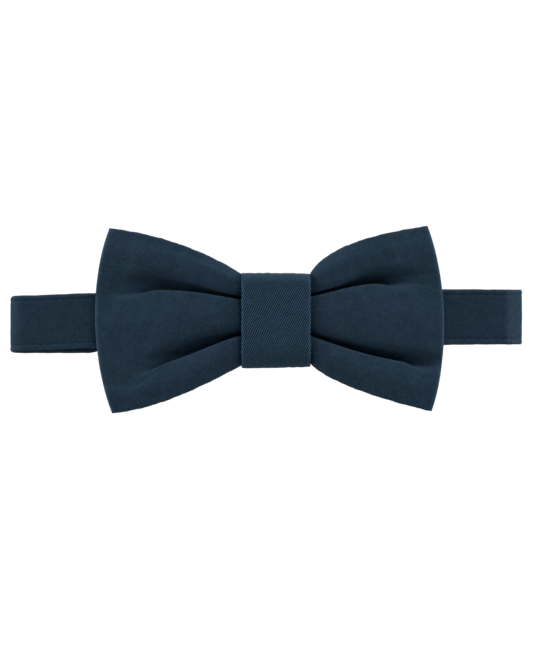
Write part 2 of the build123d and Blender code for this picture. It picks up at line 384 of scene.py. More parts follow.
def nickel_finish(colour):
    """Nickel-plated steel wire and sheet, tumbled smooth, with fine rubbing marks."""
    metal = Finish("nickel_finish")
    place = metal.add("ShaderNodeTexCoord", out="Object")
    drawn = metal.add("ShaderNodeMapping", inputs={0: place, "Scale": (300.0, 300.0, 6000.0)})
    marks = metal.noise(1.0, 3.0, drawn)
    smudge = metal.noise(240.0, 3.0)
    worn = (smudge * 2.2 - 0.75).clamp()
    base = metal.mix(worn, (*colour, 1), (colour[0] * 0.8, colour[1] * 0.78, colour[2] * 0.74, 1))
    rough = 0.2 + worn * 0.16 + marks * 0.12
    normal = metal.add("ShaderNodeBump", inputs={
        "Strength": 0.35, "Distance": 0.02 * MM, "Height": marks})
    return metal.surface({
        "Base Color": base, "Metallic": 1.0, "Roughness": rough, "Normal": normal})


def material(name):
    """A finish that an earlier step made."""
    return bpy.data.materials[name]


# ---------------------------------------------------------------- curves and meshes

def bezier(points, t):
    """Points on a cubic curve with four control points."""
    p = np.array(points, float)
    t = np.asarray(t, float)[..., None]
    u = 1 - t
    return u ** 3 * p[0] + 3 * u * u * t * p[1] + 3 * u * t * t * p[2] + t ** 3 * p[3]


def ease(x, start, end):
    """0 before start, 1 after end, smooth between."""
    t = np.clip((x - start) / (end - start), 0, 1)
    return t * t * (3 - 2 * t)


def spline_through_polygon(control, per_span):
    """Smooth lines drawn by control polygons of shape (lines, points, axes)."""
    first = 2 * control[:, :1] - control[:, 1:2]
    last = 2 * control[:, -1:] - control[:, -2:-1]
    p = np.concatenate([first, control, last], axis=1)
    u = (np.arange(per_span) / per_span)[None, :, None]
    weights = ((1 - u) ** 3 / 6, (3 * u ** 3 - 6 * u ** 2 + 4) / 6,
               (-3 * u ** 3 + 3 * u ** 2 + 3 * u + 1) / 6, u ** 3 / 6)
    out = []
    for span in range(control.shape[1] - 1):
        out.append(sum(w * p[:, span + k][:, None, :] for k, w in enumerate(weights)))
    return np.concatenate(out + [control[:, -1:]], axis=1)


def uneven(x, wavelength, turn=0.0):
    """A smooth, unrepeating wave between about -1 and 1."""
    x = np.asarray(x, float) / wavelength * 2 * math.pi
    return (np.sin(x + turn) + 0.6 * np.sin(1.73 * x + 2.1 + 3 * turn)
            + 0.4 * np.sin(2.91 * x + 0.7 + 5 * turn)) / 2


def linked(name, data):
    """A new object in the scene."""
    made = bpy.data.objects.new(name, data)
    bpy.context.scene.collection.objects.link(made)
    return made


def face_outward(mesh):
    """Turns a closed mesh's faces outward."""
    shell = bmesh.new()
    shell.from_mesh(mesh)
    bmesh.ops.recalc_face_normals(shell, faces=shell.faces)
    shell.to_mesh(mesh)
    shell.free()


def applied(piece):
    """A mesh of the piece with its modifiers applied."""
    bpy.context.view_layer.update()
    evaluated = piece.evaluated_get(bpy.context.evaluated_depsgraph_get())
    return bpy.data.meshes.new_from_object(evaluated)


def cell_faces(index):
    """Quads between neighbouring rows and columns of a grid of vertex numbers."""
    a = index[:-1, :-1].ravel()
    b = index[:-1, 1:].ravel()
    c = index[1:, 1:].ravel()
    d = index[1:, :-1].ravel()
    return np.stack([a, b, c, d], axis=1)


def mesh_piece(name, points, faces, uv, rubbed, napped=None):
    """A closed mesh object with outward faces. uv has one place for each face corner."""
    mesh = bpy.data.meshes.new(name)
    mesh.from_pydata([tuple(p) for p in points], [], [tuple(int(i) for i in f) for f in faces])
    layer = mesh.uv_layers.new(name="twill")
    layer.data.foreach_set("uv", np.asarray(uv, np.float32).ravel())
    # the first attribute holds each point's share of a painted highlight along the rims
    for label, values in (("rubbed", rubbed), ("napped", napped)):
        if values is not None:
            attribute = mesh.attributes.new(label, "FLOAT", "POINT")
            attribute.data.foreach_set("value", np.asarray(values, np.float32).ravel())
    face_outward(mesh)
    mesh.polygons.foreach_set("use_smooth", [True] * len(mesh.polygons))
    mesh.set_sharp_from_angle(angle=math.radians(75))
    mesh.validate()
    piece = linked(name, mesh)
    return piece


def turned_map(flat, angle):
    """Flat places on the cloth, as metres across and along ribs that lie at an angle."""
    u, v = flat[..., 0], flat[..., 1]
    return np.stack([v * math.cos(angle) - u * math.sin(angle),
                     u * math.cos(angle) + v * math.sin(angle)], axis=-1)


def corner_map(flat_map):
    """A map's place for each corner of a grid's quads."""
    corners = [flat_map[:-1, :-1], flat_map[:-1, 1:], flat_map[1:, 1:], flat_map[1:, :-1]]
    return np.stack([corner.reshape(-1, 2) for corner in corners], axis=1).reshape(-1, 2)


def resampled(line, step):
    """A polyline's points about step apart, with the length along it at each."""
    line = np.array(line, float)
    along = np.concatenate([[0], np.cumsum(np.linalg.norm(np.diff(line, axis=0), axis=1))])
    at = np.linspace(0, along[-1], max(3, int(round(along[-1] / step)) + 1))
    points = np.stack([np.interp(at, along, line[:, k]) for k in range(2)], axis=1)
    return points, at


def section_places(width, seam):
    """Places across a strap, closer together at its edges and at its seams."""
    half = width / 2
    edge = np.array([0, 0.02, 0.07, 0.15, 0.27, 0.42, 0.6, 0.85, 1.15]) * MM
    parts = [half - edge, edge - half, np.linspace(-half + 1.6 * MM, half - 1.6 * MM, 15)]
    if seam:
        near = np.array([-0.7, -0.45, -0.25, -0.1, 0, 0.1, 0.25, 0.45, 0.7]) * MM
        parts += [half - seam + near, seam - half + near]
    places = np.unique(np.round(np.concatenate(parts), 6))
    keep = [places[0]]
    for place in places[1:]:
        if place - keep[-1] > 0.015 * MM:
            keep.append(place)
    return np.array(keep)


def half_thickness(w, far, width, thickness, seam, groove, stitch, swell):
    """Half a strap's thickness at places w across it and far along it."""
    edge = width / 2 - np.abs(w)
    rounding = min(0.62 * thickness, 0.8 * MM)
    shape = np.sqrt(1 - (1 - np.clip(edge / rounding, 0, 1)) ** 2)
    half = thickness / 2 * shape[None, :] * np.ones((len(far), 1))
    half = half + swell * np.cos(math.pi * w / width)[None, :] * shape[None, :]
    if seam:
        groove_wide, lip_wide, lip_high = 0.38 * MM, 0.5 * MM, 0.06 * MM
        beat = np.cos(2 * math.pi * far / stitch)
        dip = np.exp(-((np.abs(w) - (width / 2 - seam)) / groove_wide) ** 2)
        half = half - groove * dip[None, :] * (0.6 + 0.4 * beat)[:, None]
        lip = np.exp(-((np.abs(w) - (width / 2 - seam / 2)) / lip_wide) ** 2)
        half = half + lip_high * lip[None, :] * (0.5 - 0.5 * beat)[:, None]
    return np.maximum(half, 0.0)


def end_caps(index, across, points):
    """Faces that close a strap's two ends, and their corners' places on the cloth.

    index numbers the vertices round each section. The first ones, as many as across says, are on
    the strap's front, and the others come back along its back.
    """
    under = [0, *range(index.shape[1] - 1, across - 1, -1), across - 1]
    faces, uv = [], []
    for row in (index[0], index[-1]):
        for k in range(across - 1):
            cap = (row[k], row[k + 1], row[under[k + 1]], row[under[k]])
            kept = list(dict.fromkeys(int(i) for i in cap))
            faces.append(kept)
            uv.extend((float(points[i][0]), float(points[i][2])) for i in kept)
    return faces, np.array(uv)


def strap(name, line, plane, width, thickness, rib_angle, slot, start=0.0, seam=0.0, groove=0.0,
          middle=None, ripple=0.0, stitch=0.0, step=0.9 * MM, swell=0.05 * MM, wander=0.0,
          nap=None):
    """A flat tube of cloth along a line, closed at both ends.

    line is in the plane "xy" or "yz", the strap's width lies along the third axis, and middle
    gives the height of its middle line there. start is the cloth's length before the line. seam
    is the inset of its topstitching, or 0, and wander is how far its edges stray.
    """
    points, along = resampled(line, step)
    tangent = np.gradient(points, axis=0)
    tangent /= np.linalg.norm(tangent, axis=1)[:, None]
    normal = np.stack([tangent[:, 1], -tangent[:, 0]], axis=1)
    count = len(points)
    w = section_places(width, seam)
    far = start + along
    half = half_thickness(w, far, width, thickness, seam, groove, stitch, swell)
    bulge = ripple * (uneven(far[:, None] + 0.4 * w[None, :], 23 * MM)
                      * 0.6 + 0.4 * uneven(w[None, :] + 0.2 * far[:, None], 9 * MM, 1.0))
    centre = np.zeros(count) if middle is None else np.asarray(middle(points), float)
    sway = wander * (uneven(far, 9.5 * MM, 0.4)[:, None] * (w[None, :] > 0)
                     + uneven(far, 7.7 * MM, 1.7)[:, None] * (w[None, :] <= 0))
    order = np.concatenate([np.arange(len(w)), np.arange(len(w) - 2, 0, -1)])
    sign = np.concatenate([np.ones(len(w)), -np.ones(len(w) - 2)])
    reach = half[:, order] * sign[None, :] + bulge[:, order]
    flat = points[:, None, :] + normal[:, None, :] * reach[:, :, None]
    side = (w[None, :] + centre[:, None] + sway)[:, order]
    if plane == "xy":
        place = np.stack([flat[..., 0], flat[..., 1], side], axis=-1)
    else:
        place = np.stack([side, flat[..., 0], flat[..., 1]], axis=-1)
    place = place.reshape(-1, 3)
    columns = len(order)
    index = np.arange(count * columns).reshape(count, columns)
    sides = cell_faces(np.concatenate([index, index[:, :1]], axis=1))
    across = np.concatenate([w, width - w[::-1][1:]])
    grid = np.stack(np.meshgrid(far, across, indexing="ij"), axis=-1)
    if plane == "yz":
        grid = grid[..., ::-1]
    caps, cap_uv = end_caps(index, len(w), place)
    uv = np.concatenate([corner_map(turned_map(grid, rib_angle)), cap_uv])
    edge = width / 2 - np.abs(w)
    # a painted highlight along the strap's two edges
    rim_highlight_share = np.exp(-(edge[order] / (0.8 * MM)) ** 2)[None, :] * np.ones((count, 1))
    plain = None if nap is None else nap(points)[:, None] * np.ones((1, columns))
    return mesh_piece(name, place, [*sides, *caps], uv, rim_highlight_share, plain)


def arc(centre, radius, start, end, steps=28, puff=0.0):
    """Points of an arc, wider across by the puff; the angles are in degrees."""
    angles = np.radians(np.linspace(start, end, steps))
    return [(centre[0] + (radius + puff) * math.cos(a), centre[1] + radius * math.sin(a))
            for a in angles]


# ---------------------------------------------------------------- stitches

def stitch_tree():
    """Geometry nodes that lay a stitch at even steps along every line of a mesh."""
    tree = bpy.data.node_groups.new("stitches_along_lines", "GeometryNodeTree")
    face = tree.interface
    face.new_socket("Geometry", in_out="INPUT", socket_type="NodeSocketGeometry")
    for name in ("Stitch Length", "Spacing", "Thread", "Lift", "Turn"):
        face.new_socket(name, in_out="INPUT", socket_type="NodeSocketFloat")
    face.new_socket("Finish", in_out="INPUT", socket_type="NodeSocketMaterial")
    face.new_socket("Geometry", in_out="OUTPUT", socket_type="NodeSocketGeometry")

    def node(kind, inputs=None, **settings):
        made = tree.nodes.new(kind)
        for key, value in settings.items():
            setattr(made, key, value)
        for key, value in (inputs or {}).items():
            if isinstance(value, bpy.types.NodeSocket):
                tree.links.new(value, made.inputs[key])
            else:
                made.inputs[key].default_value = value
        return made

    def maths(operation, a, b):
        return node("ShaderNodeMath", {0: a, 1: b}, operation=operation).outputs[0]

    given = node("NodeGroupInput").outputs
    outward = node("GeometryNodeInputNamedAttribute", {"Name": "outward"},
                   data_type="FLOAT_VECTOR").outputs["Attribute"]
    lines = node("GeometryNodeMeshToCurve", {"Mesh": given["Geometry"]}).outputs[0]
    evenly = node("GeometryNodeResampleCurve", {"Curve": lines, "Length": given["Spacing"]},
                  mode="LENGTH").outputs[0]
    tangent = node("GeometryNodeInputTangent").outputs[0]
    lying = node("FunctionNodeAlignRotationToVector", {"Vector": tangent}, axis="X")
    facing = node("FunctionNodeAlignRotationToVector",
                  {"Rotation": lying.outputs[0], "Vector": outward}, axis="Z", pivot_axis="X")
    about = node("FunctionNodeAxisAngleToRotation",
                 {"Axis": (0.0, 0.0, 1.0), "Angle": given["Turn"]})
    turned = node("FunctionNodeRotateRotation",
                  {"Rotation": facing.outputs[0], "Rotate By": about.outputs[0]},
                  rotation_space="LOCAL")
    half = maths("MULTIPLY", given["Stitch Length"], 0.5)
    under = maths("MULTIPLY", given["Thread"], -0.6)
    start = node("ShaderNodeCombineXYZ", {0: maths("MULTIPLY", half, -1.0), 2: under}).outputs[0]
    middle = node("ShaderNodeCombineXYZ", {2: given["Lift"]}).outputs[0]
    end = node("ShaderNodeCombineXYZ", {0: half, 2: under}).outputs[0]
    bow = node("GeometryNodeCurveQuadraticBezier",
               {"Resolution": 6, "Start": start, "Middle": middle, "End": end}).outputs[0]
    ring = node("GeometryNodeCurvePrimitiveCircle",
                {"Resolution": 6, "Radius": maths("MULTIPLY", given["Thread"], 0.5)}).outputs[0]
    stitch = node("GeometryNodeCurveToMesh",
                  {"Curve": bow, "Profile Curve": ring, "Fill Caps": True}).outputs[0]
    laid = node("GeometryNodeInstanceOnPoints",
                {"Points": evenly, "Instance": stitch, "Rotation": turned.outputs[0]}).outputs[0]
    real = node("GeometryNodeRealizeInstances", {"Geometry": laid}).outputs[0]
    smooth = node("GeometryNodeSetShadeSmooth", {"Geometry": real}).outputs[0]
    finished = node("GeometryNodeSetMaterial",
                    {"Geometry": smooth, "Material": given["Finish"]}).outputs[0]
    node("NodeGroupOutput", {"Geometry": finished})
    return tree


def sewn(name, rows, length, spacing, thread, lift=0.3, turn=0.0):
    """A piece of stitches along rows, which are (points, outward directions).

    lift is a stitch's height in threads, and turn is its angle to the row.
    """
    points, edges, outward = [], [], []
    for row, normals in rows:
        first = len(points)
        points += [tuple(p) for p in row]
        outward += [tuple(n) for n in normals]
        edges += [(first + k, first + k + 1) for k in range(len(row) - 1)]
    mesh = bpy.data.meshes.new(name + "_rows")
    mesh.from_pydata(points, edges, [])
    attribute = mesh.attributes.new("outward", "FLOAT_VECTOR", "POINT")
    attribute.data.foreach_set("vector", np.array(outward, np.float32).ravel())
    guide = linked(name + "_rows", mesh)
    tree = bpy.data.node_groups.get("stitches_along_lines") or stitch_tree()
    modifier = guide.modifiers.new("stitches", "NODES")
    modifier.node_group = tree
    values = {"Stitch Length": length, "Spacing": spacing, "Thread": thread,
              "Lift": thread * lift, "Turn": turn, "Finish": material("thread_finish")}
    for socket in tree.interface.items_tree:
        if socket.in_out == "INPUT" and socket.name in values:
            modifier[socket.identifier] = values[socket.name]
    made = applied(guide)
    made.name = name
    bpy.data.objects.remove(guide)
    piece = linked(name, made)
    face_outward(made)
    return piece


# ---------------------------------------------------------------- the band

def front_middle(points):
    """Height of the front run's middle line."""
    band = bpy.context.scene.tie_band
    x = points[:, 0]
    sink_from, left_end, right_end = 62 * MM, 88 * MM, 82 * MM
    return (band.lift + math.tan(band.rise) * x
            - band.droop_left * ease(-x, sink_from, left_end)
            - band.droop_right * ease(x, sink_from, right_end))


def back_middle(fold_z, full_x, rest_x):
    """Height of a tail's middle line: the fold's until full_x, and level from rest_x on."""
    def middle(points):
        return ease(points[:, 0], rest_x, full_x) * fold_z
    return middle


def tail_middles():
    """For the left tail and the right: its height at the fold, and its middle line's height."""
    left_z, right_z = front_middle(np.array([LEFT_FOLD, RIGHT_FOLD]))
    left_z = left_z - bpy.context.scene.tie_band.sag_left
    right_z = right_z - RIGHT_SAG
    return ((left_z, back_middle(left_z, -66 * MM, -55 * MM)),
            (right_z, back_middle(right_z, RIGHT_FOLD[0], 0.0)))


def folded_middle(side, front, back, tail_z, at_back):
    """Height of the middle line along a run, its fold and its tail; side is -1 on the left.

    front and back are the fold's two hinges.
    """
    def middle(points):
        turn = ease(points[:, 1], front[1], back[1])
        at_front = front_middle(points)
        straight = np.where(points[:, 1] < 1 * MM, at_front, at_back(points))
        return np.where(side * (points[:, 0] - front[0]) < -1e-6, straight,
                        (1 - turn) * at_front + turn * tail_z)
    return middle


def band_lines():
    """The lines that the band's cloth follows, seen from above."""
    left_radius = (LEFT_TAIL[1] - LEFT_FOLD[1]) / 2
    right_radius = (RIGHT_TAIL[1] - RIGHT_FOLD[1]) / 2
    left_centre = (LEFT_FOLD[0], LEFT_FOLD[1] + left_radius)
    right_centre = (RIGHT_FOLD[0], RIGHT_FOLD[1] + right_radius)
    hook_turn = HOOK_BAR[1] - LEFT_TAIL[1]
    eye_turn = EYE_BAR[1] - RIGHT_TAIL[1]
    return_y = RIGHT_TAIL[1] + 2 * eye_turn
    touching = BAND_THICK + 0.12 * MM
    wrap_x = WRAP_LOW[0] + LAP + MM
    wrap_turn = WRAP_HIGH[0] - wrap_x - BAND_THICK / 2
    puff = bpy.context.scene.tie_band.fold_puff
    tip = (right_centre[0] + right_radius + puff * 0.8, right_centre[1])
    bevel = creased_quarter((RIGHT_FOLD[0], RIGHT_FOLD[1]), tip)
    hook_end = (HOOK_BAR[0], LEFT_TAIL[1] + 2 * hook_turn)
    fold_end = (RIGHT_TAIL[0] - 8 * MM, RIGHT_TAIL[1])
    return {
        "left_front": [(0.0, LEFT_FOLD[1]), (LEFT_FOLD[0], LEFT_FOLD[1])]
        + arc(left_centre, left_radius, 270, 180, puff=puff)[1:],
        "right_front": [(0.0, RIGHT_FOLD[1])] + bevel,
        "left_tail": arc(left_centre, left_radius, 180, 90, puff=puff)
        + [(HOOK_BAR[0], LEFT_TAIL[1])]
        + arc((HOOK_BAR[0], LEFT_TAIL[1] + hook_turn), hook_turn, -90, 90)[1:]
        + lapped(hook_end, LEFT_TAIL[1] + touching),
        "right_fold": [(x, 2 * tip[1] - y) for x, y in reversed(bevel)] + [fold_end],
        "standing": [fold_end, (EYE_BAR[0], RIGHT_TAIL[1])]
        + arc((EYE_BAR[0], EYE_BAR[1]), eye_turn, 270, 90)[1:],
        "returning": [(EYE_BAR[0], return_y), (wrap_x, return_y)]
        + arc((wrap_x, return_y - wrap_turn), wrap_turn, 90, -90)[1:]
        + lapped((wrap_x, return_y - 2 * wrap_turn), return_y - touching),
    }


def creased_quarter(start, tip):
    """Half a pressed fold: a quick first bend, a slanting strip, and a round tip."""
    knee = (start[0] + 1.1 * MM, start[1])
    neck = (tip[0] - 0.2 * MM, tip[1] - 2.0 * MM)
    slope = (neck[1] - knee[1]) / (neck[0] - knee[0])
    bend = [(knee[0] - 0.9 * MM, knee[1]), knee, knee, (knee[0] + 1.0 * MM, knee[1] + slope * MM)]
    nose = [(neck[0] - 1.4 * MM, neck[1] - slope * 1.4 * MM),
            (neck[0] - 0.2 * MM, neck[1] - slope * 0.2 * MM),
            (tip[0], neck[1] + 0.9 * MM), tip]
    return [start, *map(tuple, bezier(bend, np.linspace(0, 1, 9))),
            *map(tuple, bezier(nose, np.linspace(0, 1, 12)))]


def lapped(end, beside):
    """A turned end's way back, to the left, until it lies beside its own run."""
    sweep = [end, (end[0] - LAP * 0.22, end[1]), (end[0] - LAP * 0.25, beside),
             (end[0] - LAP * 0.55, beside)]
    return [*map(tuple, bezier(sweep, np.linspace(0, 1, 16))[1:]), (end[0] - LAP, beside)]


class MakeFinishes(Operator):
    """Make the twill, thread and nickel finishes"""
    bl_idname = "bow_tie.make_finishes"
    bl_label = "Finishes"

    def execute(self, context):
        cloth = context.scene.tie_cloth
        colour = tuple(cloth.colour)
        pitch, height = cloth.rib_pitch, cloth.rib_height
        # the knot is the palest; the band is a little darker than the wings, a painted shade for
        # lying behind them; and the thread is the darkest, a painted shade of the grooves its
        # stitches sit in
        bright, shaded_band, shaded_thread = ([c * share for c in colour] for share in (1.2, 0.94, 0.25))
        twill_finish("bow_finish", colour, pitch * 0.9, height * 0.7,
                     contrast=1.7, clumps=0.6, sheen=0.03)
        twill_finish("knot_finish", bright, pitch, height,
                     contrast=3.2, clumps=0.6, sheen=0.03)
        twill_finish("band_finish", shaded_band, pitch, height * 0.9,
                     contrast=3.6, clumps=0.6, sheen=0.035)
        thread_finish(shaded_thread)
        nickel_finish(tuple(context.scene.tie_metal.colour))
        return {"FINISHED"}


class MakeBand(Operator):
    """Make the neck band's cloth: the front run, its folds and its tails"""
    bl_idname = "bow_tie.make_band"
    bl_label = "Neck band"

    def execute(self, context):
        scene = context.scene
        band, cloth, stitch = scene.tie_band, scene.tie_cloth, scene.tie_stitch
        lines = band_lines()
        common = dict(plane="xy", width=BAND_WIDE, thickness=BAND_THICK,
                      rib_angle=cloth.band_turn, slot="band_twill", seam=band.seam_inset,
                      groove=band.seam_groove, ripple=band.ripple, stitch=stitch.spacing,
                      wander=0.06 * MM)
        left_apex = np.array(lines["left_tail"][0])
        right_apex = np.array(lines["right_fold"][0])
        (left_z, left_back), (right_z, right_back) = tail_middles()
        left_middle = folded_middle(-1, LEFT_FOLD, LEFT_TAIL, left_z, left_back)
        right_middle = folded_middle(1, RIGHT_FOLD, RIGHT_TAIL, right_z, right_back)

        def run_nap(points):
            """How far the nap hides the ribs: less and less towards the folds."""
            x = points[:, 0]
            at_folds = ease(-x, 84 * MM, 89 * MM) + ease(x, 78 * MM, 80 * MM)
            return 0.84 * (1 - at_folds)

        common["nap"] = run_nap
        # about the length of the cloth that comes before each run
        tail_start, standing_start, return_start = 90 * MM, 107 * MM, 210 * MM
        made = {}
        made["left_front"] = strap("band_left_front_cloth", lines["left_front"],
                                   middle=left_middle, **common)
        made["right_front"] = strap("band_right_front_cloth", lines["right_front"],
                                    middle=right_middle, **common)
        made["left_tail"] = strap("left_tail_cloth", lines["left_tail"], start=tail_start,
                                  middle=left_middle, **common)
        made["right_fold"] = strap("right_fold_cloth", lines["right_fold"], start=tail_start,
                                   middle=right_middle, **common)
        made["standing"] = strap("right_tail_cloth", lines["standing"], start=standing_start,
                                 middle=right_middle, **common)
        made["returning"] = strap("return_run_cloth", lines["returning"], start=return_start,
                                  **common)
        for piece in made.values():
            piece.data.materials.append(material("band_finish"))
        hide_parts("band_front_sleeve", "band_front_interlining",
                    "left_fold_sleeve", "left_fold_interlining")
        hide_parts("right_fold_sleeve", "right_fold_interlining")
        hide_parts("left_tail_sleeve", "left_tail_interlining", "hook_loop")
        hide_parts("right_tail_sleeve", "right_tail_interlining", "eye_loop")
        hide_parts("return_run_sleeve", "return_run_interlining",
                    "slider_wrap")
        # two bodies for each run, and two places: just short of its hinges and just short of its
        # outermost point
        short = 1.5 * MM
        left_bend, right_bend = left_apex[0] + 0.6 * MM, right_apex[0] - 1.2 * MM
        blends = {
            "left_front": ("band_front", "left_fold", (LEFT_FOLD[0] + short, LEFT_FOLD[1], 0),
                           (left_bend, LEFT_FOLD[1], 0)),
            "right_front": ("band_front", "right_fold",
                            (RIGHT_FOLD[0] - short, RIGHT_FOLD[1], 0),
                            (right_bend, RIGHT_FOLD[1], 0)),
            "left_tail": ("left_fold", "left_tail", (left_bend, LEFT_TAIL[1], 0),
                          (LEFT_TAIL[0] + short, LEFT_TAIL[1], 0)),
            "right_fold": ("right_fold", "right_tail", (right_bend, RIGHT_TAIL[1], 0),
                           (RIGHT_TAIL[0] - short, RIGHT_TAIL[1], 0)),
            "standing": ("right_tail", "eye_end", (RIGHT_TAIL[0] - 8.5 * MM, RIGHT_TAIL[1], 0),
                         (EYE_BAR[0] + 2 * MM, RIGHT_TAIL[1], 0)),
            "returning": ("eye_end", "slider", (EYE_BAR[0] + 1.5 * MM, 0, 0),
                          (WRAP_LOW[0] - 1 * MM, 0, 0)),
        }
        for key, (a, b, start, end) in blends.items():
            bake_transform(made[key])
            "hook" if "left" in key else "eye"
        return {"FINISHED"}


class MakeTopstitching(Operator):
    """Sew the band's edges, its turned ends and the knot's seam"""
    bl_idname = "bow_tie.make_stitching"
    bl_label = "Stitching"

    def execute(self, context):
        scene = context.scene
        band, stitch = scene.tie_band, scene.tie_stitch
        (_, left_back), (_, right_back) = tail_middles()
        surface = BAND_THICK / 2 - band.seam_groove * 0.85
        row_z = BAND_WIDE / 2 - band.seam_inset
        fold_gap = 0.5 * MM
        slider_x = 52 * MM      # the slider covers the outer rows from here on

        def rows(x_from, x_to, y, face, middle):
            """The rows along a run's two edges, on its front (face -1) or its back (face 1)."""
            made = []
            xs = np.linspace(x_from, x_to, 40)
            for edge in (-1, 1):
                zs = middle(np.stack([xs, np.full(len(xs), y)], axis=1)) + edge * row_z
                points = np.stack([xs, np.full(len(xs), y + face * surface), zs], axis=1)
                made.append((points, [(0, face, 0)] * len(xs)))
            return made

        hook_x = HOOK_BAR[0] - 10 * MM      # just short of the lap
        eye_x = EYE_BAR[0]
        sizes = dict(length=stitch.length, spacing=stitch.spacing, thread=stitch.thread)
        front = sewn("band_front_stitches",
                     rows(LEFT_FOLD[0] + fold_gap, RIGHT_FOLD[0] - fold_gap, LEFT_FOLD[1], -1,
                          front_middle), **sizes)
        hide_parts("band_front_topstitch")
        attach(front, "band_front")
        left = sewn("left_tail_stitches",
                    rows(LEFT_TAIL[0] + fold_gap, hook_x, LEFT_TAIL[1], 1, left_back)
                    + rows(LEFT_TAIL[0] + fold_gap, hook_x, LEFT_TAIL[1], -1, left_back), **sizes)
        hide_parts("left_tail_topstitch")
        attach(left, "left_tail")
        right = sewn("right_tail_stitches",
                     rows(RIGHT_TAIL[0] - fold_gap, eye_x, RIGHT_TAIL[1], -1, right_back)
                     + rows(RIGHT_TAIL[0] - fold_gap, slider_x, RIGHT_TAIL[1], 1, right_back),
                     **sizes)
        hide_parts("right_tail_topstitch")
        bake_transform(right)
        return_y = band_lines()["returning"][0][1]
        back = sewn("return_run_stitches",
                    rows(eye_x, WRAP_HIGH[0] - 2.5 * MM, return_y, 1,
                         lambda p: np.zeros(len(p))), **sizes)
        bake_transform(back)
        for name, node, body in (("hook_end_bartack", "hook_bartack", "left_tail"),
                                 ("slider_end_bartack", "slider_bartack", "slider")):
            low, high = low_high(node)
            x = (low[0] + high[0]) / 2
            zs = np.linspace(low[2] - 1 * MM, high[2] + 1 * MM, 24)
            points = [(x, low[1] + 0.04 * MM, z) for z in zs]
            # a bartack's stitches are long and close, and lie nearly across its row
            tack = sewn(name, [(points, [(0, 1, 0)] * len(zs))], length=2.2 * MM,
                        spacing=0.5 * MM, thread=stitch.thread, turn=math.radians(84))
            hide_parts(node)
            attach(tack, body)
        inset = 1.6 * MM
        xs = np.linspace(KNOT_LOW[0] + inset, KNOT_HIGH[0] - inset, 24)
        points = [(x, KNOT_HIGH[1] + 0.02 * MM, 0.0) for x in xs]
        seam = sewn("knot_seam_stitches", [(points, [(0, 1, 0)] * len(xs))], length=1.7 * MM,
                    spacing=1.9 * MM, thread=stitch.thread * 1.1, lift=0.8,
                    turn=math.radians(68))
        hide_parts("knot_hand_stitches")
        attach(seam, "bow")
        return {"FINISHED"}


# ---------------------------------------------------------------- the bow

# Each wing, in millimetres out from the knot and up. Its top, its low edge, its outer edge from
# the low corner up and the lines of its two valleys are curves with four control points. The
# other values of a valley say where, out from the knot, it runs out, where it widens and where the
# fold below it stops being crisp, its half-width before and after it widens, and the share of its
# depth that stays at the outer edge.
WINGS = {
    "left": {
        "side": -1,
        "top": [(11.9, 16.1), (25.0, 24.6), (42.0, 30.2), (57.5, 31.9)],
        "low": [(11.9, -15.6), (28.0, -24.2), (42.0, -30.7), (56.6, -32.1)],
        "outer": [(56.6, -32.1), (63.4, -14.5), (65.0, 12.5), (57.5, 31.9)],
        "upper": {
            "line": [(12.1, 7.4), (24.0, 9.4), (36.0, 12.3), (54.0, 9.8)],
            "fade": (32.0, 59.0), "widen": (16.0, 43.0), "crisp": (38.0, 50.0),
            "width": (1.1, 6.2), "stay": 0.0,
        },
        "lower": {
            "line": [(12.1, -5.0), (20.0, -6.4), (30.0, -13.2), (50.0, -17.5)],
            "fade": (25.0, 50.0), "widen": (12.0, 27.0), "crisp": (36.0, 47.0),
            "width": (2.0, 5.0), "stay": 0.0,
        },
    },
    "right": {
        "side": 1,
        "top": [(11.9, 16.5), (18.0, 26.2), (35.5, 30.2), (52.2, 32.7)],
        "low": [(11.9, -15.0), (17.0, -20.6), (34.0, -26.9), (53.7, -31.4)],
        "outer": [(53.7, -31.4), (59.3, -15.5), (60.1, 12.0), (52.3, 32.7)],
        "upper": {
            "line": [(12.1, 8.5), (20.0, 10.0), (30.0, 14.4), (50.0, 13.6)],
            "fade": (28.0, 54.0), "widen": (18.0, 31.0), "crisp": (30.0, 42.0),
            "width": (1.0, 4.2), "stay": 0.02,
        },
        "lower": {
            "line": [(12.1, -5.2), (20.0, -7.2), (34.0, -13.6), (53.0, -15.0)],
            "fade": (34.0, 60.0), "widen": (12.0, 44.0), "crisp": (40.0, 50.0),
            "width": (1.8, 4.0), "stay": 0.06,
        },
    },
}


def wing_edges(wing):
    """Places (out, up) along a wing's top and low edges, and their share of the way out.

    The first stations are inside the knot, where the wing is squeezed to the waist's height, and
    the last ones stand close together, where the outer edge is rounded.
    """
    inner = np.array([0.3, 1.0, 2.5, 4.5, 7.0, 9.0, 10.5, 11.1, 11.6])
    rim = np.array([0.25, 0.45, 0.62, 0.75, 0.85, 0.92, 0.97, 0.992, 1.0])
    share = np.concatenate([np.linspace(0, 1, 92) * 0.975, 0.975 + 0.025 * rim])
    head, foot = bezier(wing["top"], share), bezier(wing["low"], share)
    squeeze = 15.05 - 0.5 * (1 - inner / KNOT_SIDE)
    head = np.concatenate([np.stack([inner, squeeze], axis=1), head])
    foot = np.concatenate([np.stack([inner, -squeeze], axis=1), foot])
    share = np.concatenate([inner * 0, share])
    x = (head[:, 0] + foot[:, 0]) / 2
    wobble = ease(x, KNOT_SIDE, 16) * (1 - ease(x, 52, 56))
    side = wing["side"]
    head[:, 1] += wobble * (0.11 * uneven(x, 7.3, side) + 0.04 * uneven(x, 2.3))
    foot[:, 1] += wobble * (0.11 * uneven(x, 8.1, side + 2) + 0.04 * uneven(x, 2.6))
    return head, foot, share


